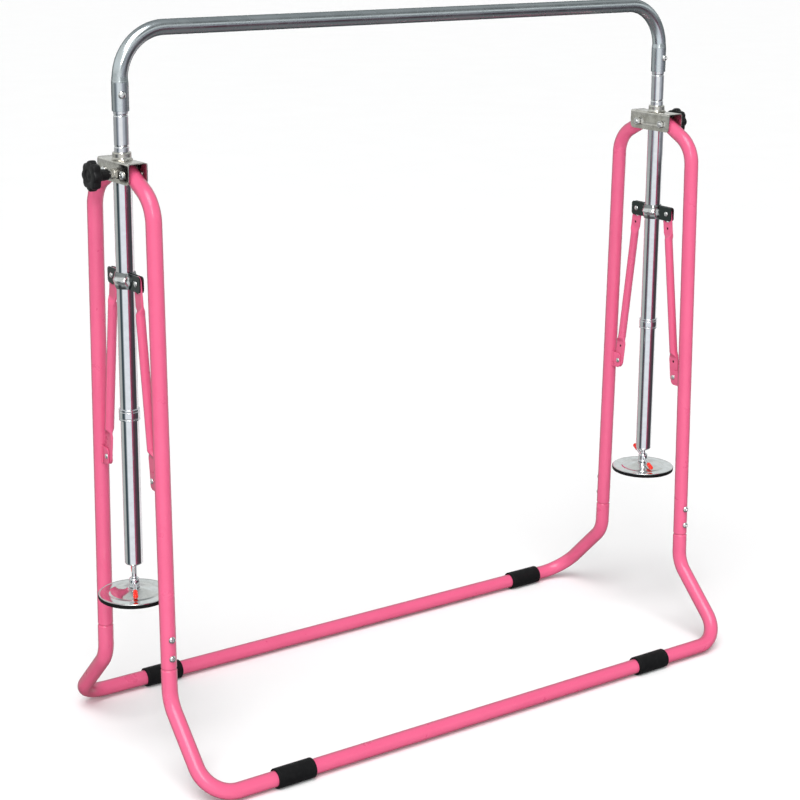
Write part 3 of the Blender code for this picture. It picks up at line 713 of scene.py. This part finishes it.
def build_leg(face, side):
    way, x = FACES[face], SIDES[side] * POST_X
    name, body = f"upper_leg_{face}_{side}", f"{face}_legs"
    pivot = at(x, way * PIVOT_Y, PIVOT_Z)
    knee = at(x, way * LEG_KNEE[0], LEG_KNEE[1])
    end = at(x, way * leg_line(JOINT_Z + 0.0003), JOINT_Z + 0.0003)
    corners = [pivot - (knee - pivot).normalized() * 0.008, knee, end]
    bm = tube(corners, 0.060, lambda point: LEG_RADIUS, 0.0015, X, 56, 22)
    cut = bmesh.new()
    rod(cut, pivot - X * 0.025, pivot + X * 0.025, 0.0040)
    for z in LEG_BOLT_Z.values():
        hole = at(x, way * leg_line(z), z)
        rod(cut, hole, hole + Y * way * 0.03, 0.0032)
    piece(f"{name}_tube", bm, body, PINK, name, cut)
    inner, outer, half, corner = leg_line(STRUT_Z) - 0.037, leg_line(STRUT_Z) - 0.0120, 0.016, 0.009
    outline = []
    for edge in (1, -1):
        arc = []
        for step in range(9):
            angle = math.pi / 2 * step / 8
            depth = inner + corner - corner * math.cos(angle)
            arc.append((depth, edge * (half - corner + corner * math.sin(angle))))
        arc += [(outer - 0.006, edge * half), (outer, edge * (half + 0.0015))]
        outline += arc if edge == -1 else arc[::-1]
    points = [at(x, way * depth, STRUT_Z + height) for depth, height in outline]
    rivet = at(x, way * STRUT_Y, STRUT_Z)
    for hand, label in ((-1, "a"), (1, "b")):
        bm = bmesh.new()
        prism(bm, points, X, hand * EAR_GAP, hand * (EAR_GAP + 0.002))
        hole = bmesh.new()
        rod(hole, rivet - X * 0.01, rivet + X * 0.01, 0.0033)
        piece(f"strut_tab_{face}_{side}_{label}", bm, body, PINK, name, hole, edge=0.0004)
    bm = bmesh.new()
    for hand in (-1, 1):
        for part in range(14):
            middle = at(x + hand * (EAR_GAP + 0.0023), 0, 0)
            height = STRUT_Z - half + 0.001 + part * (2 * half - 0.002) / 13
            middle += Y * way * (leg_line(height) - 0.01335) + Z * height
            bead(bm, middle, 0.0021)
    piece(f"strut_tab_welds_{face}_{side}", bm, body, PINK, name, angle=60)
    for label, z in LEG_BOLT_Z.items():
        place = at(x, way * leg_line(z), z)
        profile = (
            (0.0058, 0.0026),
            (0.0064, 0.0030),
            (0.0142, 0.0030),
            (0.0142, 0.0064),
            (0.0153, 0.0064),
            (0.0172, 0.0054),
            (0.0184, 0.0036),
            (0.0188, 0.0010),
        )
        bolt = turned(place, Y * way, profile, 36, 0.0006)
        cut = dimple_cut(place, Y * way, 0.0188, 0.0019, 0.0018, 6)
        bolt_name = f"leg_bolt_{face}_{side}_{label}"
        piece(f"{bolt_name}_screw", bolt, body, ZINC, bolt_name, cut)


def bead(bm, centre, radius):
    made = bmesh.ops.create_icosphere(bm, subdivisions=2, radius=radius)
    bmesh.ops.translate(bm, verts=made["verts"], vec=centre)


def build_base(face):
    way = FACES[face]
    name, body = f"base_frame_{face}", f"{face}_legs"
    elbow_z = BASE_Z + BASE_Y - leg_line(BASE_Z + BASE_Y / 2)
    heights = [SWAGE_TOP, JOINT_Z + 0.0006] + [JOINT_Z - 0.0002 - step * 0.0006 for step in range(9)]
    side = [at(POST_X, way * leg_line(z), z) for z in [*heights, elbow_z]]
    side.append(at(POST_X, way * BASE_Y, BASE_Z))
    corners = [at(-point.x, point.y, point.z) for point in side] + side[::-1]

    def radius(point):
        shoulder = 0.0120 if point.z < JOINT_Z else 0.0121
        return shoulder + (BASE_RADIUS - shoulder) * eased(JOINT_Z - point.z, 0.0018, 0.0046)

    bm = tube(corners, 0.060, radius, 0.0018, X, 56, 22)
    cut = bmesh.new()
    for sign in SIDES.values():
        for z in LEG_BOLT_Z.values():
            hole = at(sign * POST_X, way * leg_line(z), z)
            rod(cut, hole, hole + Y * way * 0.03, 0.0032)
    piece(f"{name}_tube", bm, body, PINK, name, cut)
    for side_name, x in zip(SIDES, RUBBER_X[face]):
        middle = at(x, way * BASE_Y, BASE_Z)
        half, bore = 0.03875, BASE_RADIUS + 0.0002
        profile = [(-half, bore), (-half, 0.0174), (-half + 0.0012, 0.0183), (-half + 0.0050, 0.0183)]
        profile += [(-half + 0.0056, 0.0180), (-half + 0.0066, 0.0180), (-half + 0.0072, 0.0183)]
        profile += [(-reach, radius) for reach, radius in reversed(profile)]
        bm = turned(middle, X, profile, 64, 0.0004, loop=True)
        sleeve = f"rubber_sleeve_{face}_{side_name}"
        piece(f"{sleeve}_grip", bm, body, RUBBER, sleeve)


# ---------------------------------------------------------------- struts and collars


def rivet_mesh(place, reach):
    """A rivet with a domed head on each side."""
    half = ((0.0, 0.0029), (reach, 0.0029), (reach, 0.0051), (reach + 0.0009, 0.0048))
    half += ((reach + 0.0020, 0.0034), (reach + 0.0025, 0.0016), (reach + 0.0026, 0.0004))
    profile = tuple((-along, radius) for along, radius in reversed(half[1:])) + half[1:]
    return turned(place, X, profile, 32, 0.0006)


def build_strut(face, side):
    way, x = FACES[face], SIDES[side] * POST_X
    low, high = at(x, way * STRUT_Y, STRUT_Z), at(x, way * COLLAR_Y, COLLAR_Z)
    length = (high - low).length
    along = (high - low).normalized()
    broad = X.cross(along)
    start, top = -0.0125, length + 0.0134
    marks = [start + step * 0.0009 for step in range(14)]
    marks += [0.004 + step * 0.0020 for step in range(28)]
    marks += [length - reach for reach in reversed(marks) if reach > 0.0]
    marks += [top - step * 0.0009 for step in range(14)]
    marks = sorted(mark for mark in marks if start <= mark <= top)
    rings = []
    bm = bmesh.new()
    for reach in marks:
        near = min(reach, length - reach)
        round_part = eased(near, 0.037, 0.056)
        wide = 0.01225 + (0.00825 - 0.01225) * round_part
        edge = min(reach - start, top - reach)
        if edge < 0.0122:
            wide *= 0.14 + 0.86 * math.sqrt(1 - (1 - edge / 0.0122) ** 2)
        square = 2 + 5 * (1 - round_part) ** 2
        verts = []
        for index in range(40):
            angle = 2 * math.pi * index / 40
            a, b = math.cos(angle), math.sin(angle)
            offset = math.copysign(abs(a) ** (2 / square), a) * wide
            thick = 0.0020 + 0.00625 * eased(near - way * offset * 0.30, 0.0415, 0.0530)
            out = broad * offset
            out += X * math.copysign(abs(b) ** (2 / square), b) * thick
            verts.append(bm.verts.new(low + along * reach + out))
        rings.append(verts)
    skin(bm, rings)
    cut = bmesh.new()
    rod(cut, low - X * 0.01, low + X * 0.01, 0.0033)
    inward = -X * SIDES[side]
    for reach in (0.033, length - 0.030):
        spot = low + along * reach
        rod(cut, spot + inward * 0.0006, spot + inward * 0.01, 0.0027)
    middle = high + along * (0.0126 - 0.0168) / 2
    prism(cut, rounded_box(middle, along, broad, 0.0147, 0.0063, 0.0028), X, -0.01, 0.01)
    name = f"strut_{face}_{side}"
    piece(f"{name}_tube", bm, name, PINK, name, cut, angle=40)
    # Painted shade: dark discs set just inside the small holes stand in for the shadowed inside of the tube.
    bm = bmesh.new()
    for reach in (0.033, length - 0.030):
        spot = low + along * reach
        rod(bm, spot + inward * 0.0003, spot + inward * 0.0010, 0.00265)
    piece(f"{name}_painted_hole_shade", bm, name, RUBBER, name)
    rivet = f"lower_rivet_{face}_{side}"
    piece(f"{rivet}_pin", rivet_mesh(low, 0.0045), f"{face}_legs", ZINC, rivet)
    rivet = f"collar_rivet_{face}_{side}"
    piece(f"{rivet}_pin", rivet_mesh(high, 0.0045), f"collar_{side}", ZINC, rivet)


def band_path(bore, root):
    """Half of a collar from above: (point, outward direction, how far it counts as band) from ear to ear."""
    quarter = []
    for step in range(9):
        part = (1 - math.cos(math.pi / 2 * step / 8)) * 0.006
        quarter.append((Vector((EAR_GAP, EAR_END - part, 0)), X, 0))
    flat = EAR_END - 0.006 - root - 0.003
    for step in range(1, 9):
        quarter.append((Vector((EAR_GAP, EAR_END - 0.006 - flat * step / 8, 0)), X, 0))
    low = math.asin((EAR_GAP + 0.0012) / bore)
    for step in range(17):
        angle = low + (math.pi / 2 - low) * step / 16
        outward = Vector((math.sin(angle), math.cos(angle), 0))
        quarter.append((outward * bore, outward, eased(step, 0, 4)))
    other = [(Vector((p.x, -p.y, 0)), Vector((o.x, -o.y, 0)), band) for p, o, band in quarter[-2::-1]]
    return quarter + other


def build_collar(side, half_name, hand):
    start = at(SIDES[side] * POST_X, 0, COLLAR_Z)
    rows = [-1 + step / 12 for step in range(25)]
    path = band_path(0.0166, 0.0196)
    sheets = []
    bm = bmesh.new()
    for thick in (0, 0.0020):
        sheet = []
        for row in rows:
            line = []
            for point, outward, band in path:
                rib = math.exp(-((row / 0.24) ** 2)) * 0.0019 * band
                bow = 0.0012 * (1 - 2 * row * row) * band
                tip = max(0, (abs(point.y) - EAR_END + 0.006) / 0.006)
                height = 0.0142 - 0.006 * (1 - math.sqrt(max(0, 1 - tip * tip)))
                spot = point + outward * (thick + (rib + bow if thick else rib * 0.4))
                line.append(bm.verts.new(start + Vector((spot.x * hand, spot.y, row * height))))
            sheet.append(line)
        sheets.append(sheet)
    inside, outside = sheets
    columns = len(path)
    for sheet in sheets:
        for one, other in zip(sheet, sheet[1:]):
            for index in range(columns - 1):
                bm.faces.new((one[index], one[index + 1], other[index + 1], other[index]))
    for row in (0, -1):
        for index in range(columns - 1):
            one, other = inside[row], outside[row]
            bm.faces.new((one[index], one[index + 1], other[index + 1], other[index]))
    for column in (0, -1):
        for row in range(len(rows) - 1):
            corners = (inside[row], inside[row + 1], outside[row + 1], outside[row])
            bm.faces.new([line[column] for line in corners])
    name = f"collar_{side}_{half_name}"
    piece(f"{name}_band", bm, f"collar_{side}", BLACK_NICKEL, name, edge=0.0004, angle=40)


# ---------------------------------------------------------------- screw feet


def build_foot(side):
    start = at(SIDES[side] * POST_X, 0, FOOT_Z[side])
    top = 0.452 - FOOT_Z[side]
    profile = [
        (0.0172, 0.0060),
        (0.0172, 0.0090),
        (0.0182, 0.0102),
        (0.0205, 0.0102),
        (0.0212, 0.0096),
        (0.0320, 0.0094),
        (0.0340, 0.0086),
        (0.0358, 0.0062),
        (0.0370, 0.0047),
        (0.0400, 0.0044),
    ]
    profile = softened(profile, 0.0008)
    thread = 0.0440
    while thread < top - 0.001:
        profile += [(thread, 0.0045), (thread + 0.0009, 0.0042)]
        thread += 0.0018
    profile += [(top - 0.0004, 0.0042), (top, 0.0036)]
    bm = bmesh.new()
    lathe(bm, start, Z, profile, 48)
    turn, tilt = LEVER_TURN[side], math.radians(17)
    way = Vector((-math.sin(turn) * math.cos(tilt), -math.cos(turn) * math.cos(tilt), -math.sin(tilt)))
    middle = start + Z * 0.028
    cut = bmesh.new()
    rod(cut, middle - way * 0.03, middle + way * 0.03, 0.0037, 32)
    screw = f"screw_{side}"
    piece(f"spindle_{side}", bm, screw, CHROME, f"foot_spindle_{side}", cut)
    lever = f"foot_lever_{side}"
    end = 0.0475
    profile = ((-end + 0.002, 0.0028), (-end + 0.0025, 0.0034), (end - 0.0025, 0.0034), (end - 0.002, 0.0028))
    piece(f"{lever}_bar", turned(middle, way, profile, 32), screw, CHROME, lever)
    for hand, label in ((1, "near"), (-1, "far")):
        profile = (
            (end - 0.0185, 0.0035),
            (end - 0.0180, 0.0041),
            (end - 0.0120, 0.0044),
            (end - 0.0040, 0.0045),
            (end - 0.0018, 0.0040),
            (end - 0.0006, 0.0028),
            (end - 0.0001, 0.0010),
        )
        bm = bmesh.new()
        lathe(bm, middle, way * hand, softened(profile, 0.0012), 32)
        piece(f"lever_cap_{side}_{label}", bm, screw, VINYL, lever)
    foot = f"foot_{side}"
    profile = (
        (0.0169, 0.0040),
        (0.0169, 0.0116),
        (0.0152, 0.0150),
        (0.0125, 0.0250),
        (0.0104, 0.0350),
        (0.0092, 0.0430),
        (0.0076, 0.0460),
        (0.0080, 0.0500),
        (0.0080, 0.0610),
        (0.0086, 0.0626),
        (0.0083, 0.0641),
        (0.0070, 0.0643),
        (0.0056, 0.0634),
        (0.0054, 0.0500),
        (0.0056, 0.0460),
        (0.0070, 0.0420),
        (0.0088, 0.0340),
        (0.0112, 0.0240),
        (0.0140, 0.0130),
        (0.0145, 0.0040),
    )
    bm = turned(start, Z, profile, 120, 0.0016, loop=True)
    piece(f"disc_{side}", bm, foot, DISC_CHROME, f"foot_disc_{side}")
    profile = (
        (0.0138, 0.0100),
        (0.0062, 0.0420),
        (0.0050, 0.0470),
        (0.0050, 0.0638),
        (0.0068, 0.0645),
        (0.0069, 0.0650),
        (0.0022, 0.0650),
        (0.0006, 0.0645),
        (0.0000, 0.0630),
        (0.0000, 0.0560),
        (0.0030, 0.0500),
        (0.0075, 0.0300),
        (0.0080, 0.0100),
    )
    bm = turned(start, Z, profile, 120, 0.0008)
    piece(f"pad_{side}", bm, foot, RUBBER, f"foot_pad_{side}")


build_bar()
for side_name, side_sign in SIDES.items():
    build_posts(side_name)
    build_bracket(side_name)
    build_knob(side_name)
    build_foot(side_name)
    build_collar(side_name, "outer_half", side_sign)
    build_collar(side_name, "inner_half", -side_sign)
    for face_name in FACES:
        build_pivot_bolt(side_name, face_name)
        build_leg(face_name, side_name)
        build_strut(face_name, side_name)
for face_name in FACES:
    build_base(face_name)


# ---------------------------------------------------------------- floor, light and camera


def build_floor():
    bm = bmesh.new()
    bmesh.ops.create_circle(bm, cap_ends=True, segments=96, radius=40)
    floor = to_object("floor", bm)
    made, tree, shader = nodes_of("floor_paint")
    tone = ranged(tree, noise(tree, 3, 3), 0, 1)
    tree.links.new(mixed(tree, tone, (0.95, 0.95, 0.95), (0.94, 0.94, 0.94)), shader.inputs["Base Color"])
    shader.inputs["Roughness"].default_value = 0.8
    floor.data.materials.append(made)
    floor.visible_glossy = False


def area_light(name, place, target, size, power):
    data = bpy.data.lights.new(name, "AREA")
    data.shape = "RECTANGLE"
    data.size, data.size_y = size
    data.energy = power
    lamp = bpy.data.objects.new(name, data)
    bpy.context.scene.collection.objects.link(lamp)
    lamp.location = place
    lamp.rotation_euler = (Vector(target) - Vector(place)).to_track_quat("-Z", "Y").to_euler()


# What metal reflects, by compass heading in degrees from +Y towards +X. LOW is seen well below the
# horizon, MIDDLE just below it, and HIGH above it.
LOW = (
    (0, (0.50, 0.52, 0.51)),
    (30, (0.42, 0.40, 0.40)),
    (50, (0.42, 0.36, 0.38)),
    (62, (1.0, 1.0, 1.0)),
    (92, (1.0, 1.0, 1.0)),
    (102, (0.05, 0.06, 0.065)),
    (142, (0.07, 0.06, 0.07)),
    (148, (0.12, 0.045, 0.065)),
    (168, (0.14, 0.055, 0.085)),
    (174, (0.82, 0.70, 0.78)),
    (186, (0.80, 0.84, 0.92)),
    (196, (0.92, 0.96, 1.0)),
    (246, (0.92, 0.96, 1.0)),
    (258, (0.30, 0.34, 0.36)),
    (264, (0.06, 0.085, 0.095)),
    (288, (0.06, 0.085, 0.095)),
    (298, (0.50, 0.52, 0.50)),
    (360, (0.50, 0.52, 0.51)),
)
MIDDLE = (
    (0, (0.42, 0.43, 0.44)),
    (60, (0.62, 0.62, 0.62)),
    (92, (0.24, 0.25, 0.27)),
    (132, (0.20, 0.21, 0.23)),
    (152, (0.46, 0.48, 0.53)),
    (176, (0.55, 0.58, 0.64)),
    (192, (1.0, 1.0, 1.0)),
    (236, (0.95, 0.97, 1.0)),
    (254, (0.34, 0.37, 0.42)),
    (276, (0.15, 0.17, 0.19)),
    (292, (0.40, 0.42, 0.42)),
    (360, (0.42, 0.43, 0.44)),
)
HIGH = (
    (0, (0.72, 0.74, 0.73)),
    (84, (0.72, 0.74, 0.73)),
    (104, (0.16, 0.17, 0.17)),
    (196, (0.16, 0.17, 0.17)),
    (214, (0.72, 0.74, 0.73)),
    (360, (0.72, 0.74, 0.73)),
)


def heading_ramp(tree, heading, stops):
    ramp = tree.nodes.new("ShaderNodeValToRGB")
    tree.links.new(heading, ramp.inputs["Fac"])
    elements = ramp.color_ramp.elements
    elements[1].position = 1
    elements[0].color = (*stops[0][1], 1)
    elements[1].color = (*stops[-1][1], 1)
    for degrees, colour in stops[1:-1]:
        elements.new(degrees / 360).color = (*colour, 1)
    return ramp.outputs["Color"]


def build_world():
    """A white studio, with dark uprights and a strip light that only the metal's reflections show."""
    world = bpy.data.worlds.new("studio")
    world.use_nodes = True
    bpy.context.scene.world = world
    tree = world.node_tree
    background = tree.nodes["Background"]
    place = tree.nodes.new("ShaderNodeTexCoord")
    split = tree.nodes.new("ShaderNodeSeparateXYZ")
    tree.links.new(place.outputs["Generated"], split.inputs["Vector"])
    angle = tree.nodes.new("ShaderNodeMath")
    angle.operation = "ARCTAN2"
    tree.links.new(split.outputs["X"], angle.inputs[0])
    tree.links.new(split.outputs["Y"], angle.inputs[1])
    turn = tree.nodes.new("ShaderNodeMath")
    turn.operation = "DIVIDE"
    tree.links.new(angle.outputs[0], turn.inputs[0])
    turn.inputs[1].default_value = 2 * math.pi
    wrap = tree.nodes.new("ShaderNodeMath")
    wrap.operation = "FRACT"
    tree.links.new(turn.outputs[0], wrap.inputs[0])
    height = split.outputs["Z"]
    low, middle, high = (heading_ramp(tree, wrap.outputs[0], stops) for stops in (LOW, MIDDLE, HIGH))
    below = mixed(tree, ranged(tree, height, 0, 1, -0.149, -0.142), low, middle)
    strip = tree.nodes.new("ShaderNodeMath")
    strip.operation = "MULTIPLY"
    tree.links.new(ranged(tree, height, 0, 1, 0.14, 0.22), strip.inputs[0])
    tree.links.new(ranged(tree, height, 1, 0, 0.38, 0.48), strip.inputs[1])
    above = mixed(tree, strip.outputs[0], high, (0.80, 0.84, 0.85))
    walls = mixed(tree, ranged(tree, height, 0, 1, 0.0, 0.06), below, above)
    topped = mixed(tree, ranged(tree, height, 0, 1, 0.62, 0.85), walls, (0.30, 0.32, 0.33))
    seen = mixed(tree, ranged(tree, height, 1, 0, -0.68, -0.46), topped, (0.19, 0.20, 0.205))
    facing = tree.nodes.new("ShaderNodeVectorMath")
    facing.operation = "DOT_PRODUCT"
    tree.links.new(place.outputs["Generated"], facing.inputs[0])
    facing.inputs[1].default_value = (-0.58, -0.81, 0)
    glow = ranged(tree, facing.outputs["Value"], 0.20, 0.80, -0.8, 0.8)
    ray = tree.nodes.new("ShaderNodeLightPath")
    soft = mixed(tree, ray.outputs["Is Camera Ray"], glow, (1.0, 1.0, 1.0))
    tree.links.new(mixed(tree, ray.outputs["Is Glossy Ray"], soft, seen), background.inputs["Color"])


def build_sun():
    """An even, soft light over the whole floor."""
    data = bpy.data.lights.new("sun", "SUN")
    data.energy = 2.1
    data.angle = math.radians(40)
    sun = bpy.data.objects.new("sun", data)
    bpy.context.scene.collection.objects.link(sun)
    sun.rotation_euler = Vector((0.38, 0.42, -1)).to_track_quat("-Z", "Y").to_euler()


def build_camera():
    heading, pitch, roll = 0.6187, 0.2422, 0.0064
    level = Vector((math.sin(heading), math.cos(heading), 0))
    ahead = level * math.cos(pitch) - Z * math.sin(pitch)
    right = Vector((math.cos(heading), -math.sin(heading), 0))
    up = right.cross(ahead)
    across_image = right * math.cos(roll) + up * math.sin(roll)
    up_image = up * math.cos(roll) - right * math.sin(roll)
    data = bpy.data.cameras.new("camera")
    data.sensor_width = 36
    data.lens = 84.23
    data.shift_y = -0.08
    data.dof.use_dof = False
    camera = bpy.data.objects.new("camera", data)
    bpy.context.scene.collection.objects.link(camera)
    turn = Matrix((across_image, up_image, -ahead)).transposed().to_4x4()
    camera.matrix_world = Matrix.Translation((-2.0440, -2.8254, 1.5622)) @ turn
    bpy.context.scene.camera = camera


build_floor()
build_world()
build_sun()
area_light("key", (-3.0, -4.4, 3.4), (0, 0, 0.7), (1.2, 1.6), 60)
build_camera()
bpy.context.scene.view_settings.view_transform = "Standard"
